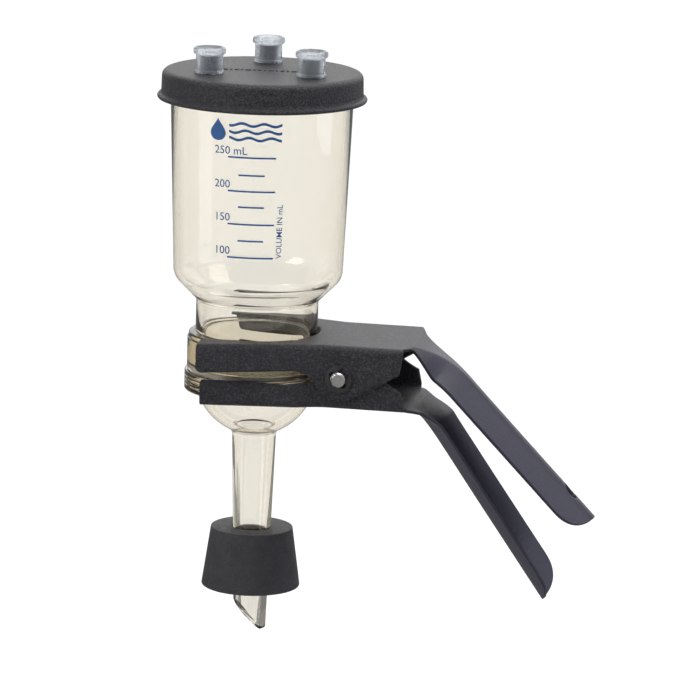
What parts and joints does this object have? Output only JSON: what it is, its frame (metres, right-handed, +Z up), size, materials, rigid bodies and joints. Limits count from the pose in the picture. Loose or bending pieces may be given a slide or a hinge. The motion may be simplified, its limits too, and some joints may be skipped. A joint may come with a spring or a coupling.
{
  "type": "vacuum filter holder",
  "caption": "Clear vacuum filter funnel with a capped black lid, on a clear bowl with a bevelled stem in a rubber stopper, held together by a black two-handled spring clamp.",
  "frame": {"origin": "on the stem's axis, at the level of the stopper's wide bottom face, where the bare end of the stem comes out of the stopper", "axes": "+Z up along the stem and funnel, -Z the way the stem points, +X from the stem's axis towards the clamp's handles"},
  "size_m": [0.1865, 0.0866, 0.2452],
  "materials": {
    "lid_plastic": "fine grained black polypropylene",
    "cap_plastic": "milky translucent soft plastic",
    "clear_plastic": "clear pale amber polysulfone",
    "silicone": "translucent silicone rubber",
    "plate_plastic": "natural moulded plastic",
    "stopper_rubber": "matt black rubber",
    "jaw_paint": "black powder coated steel sheet",
    "pin_steel": "bright turned steel",
    "clip_steel": "black oxide spring steel",
    "spring_steel": "drawn spring steel wire"
  },
  "bodies": {
    "holder": {"filter_base": "clear_plastic", "support_plate": "plate_plastic", "o_ring": "silicone", "funnel": "clear_plastic"},
    "lid": {"lid": "lid_plastic"},
    "cap_left": {"port_cap_left": "cap_plastic"},
    "cap_right": {"port_cap_right": "cap_plastic"},
    "cap_rear": {"port_cap_rear": "cap_plastic"},
    "stopper": {"stopper": "stopper_rubber"},
    "upper_clamp": {"upper_jaw": "jaw_paint", "pivot_pin": "pin_steel", "e_clip": "clip_steel", "torsion_spring": "spring_steel"},
    "lower_clamp": {"lower_jaw": "jaw_paint"}
  },
  "joints": [
    {"name": "lid_lift", "type": "slide", "parent": "holder", "child": "lid", "axis": [0, 0, 1], "range_m": [0, 0.05]},
    {"name": "cap_left_pull", "type": "slide", "parent": "lid", "child": "cap_left", "axis": [0, 0, 1], "range_m": [0, 0.015]},
    {"name": "cap_right_pull", "type": "slide", "parent": "lid", "child": "cap_right", "axis": [0, 0, 1], "range_m": [0, 0.015]},
    {"name": "cap_rear_pull", "type": "slide", "parent": "lid", "child": "cap_rear", "axis": [0, 0, 1], "range_m": [0, 0.015]},
    {"name": "stopper_slide", "type": "slide", "parent": "holder", "child": "stopper", "axis": [0, 0, -1], "range_m": [0, 0.05]},
    {"name": "clamp_pull", "type": "slide", "parent": "holder", "child": "upper_clamp", "axis": [1, 0, 0], "range_m": [0, 0.075]},
    {"name": "jaw_open", "type": "hinge", "parent": "upper_clamp", "child": "lower_clamp", "pos_m": [0.0394, 0, 0.0955], "axis": [0, -1, 0], "range_deg": [0, 11], "stiffness_Nm_per_rad": 3, "springref_deg": -22.92, "deforming": ["torsion_spring"]}
  ]
}
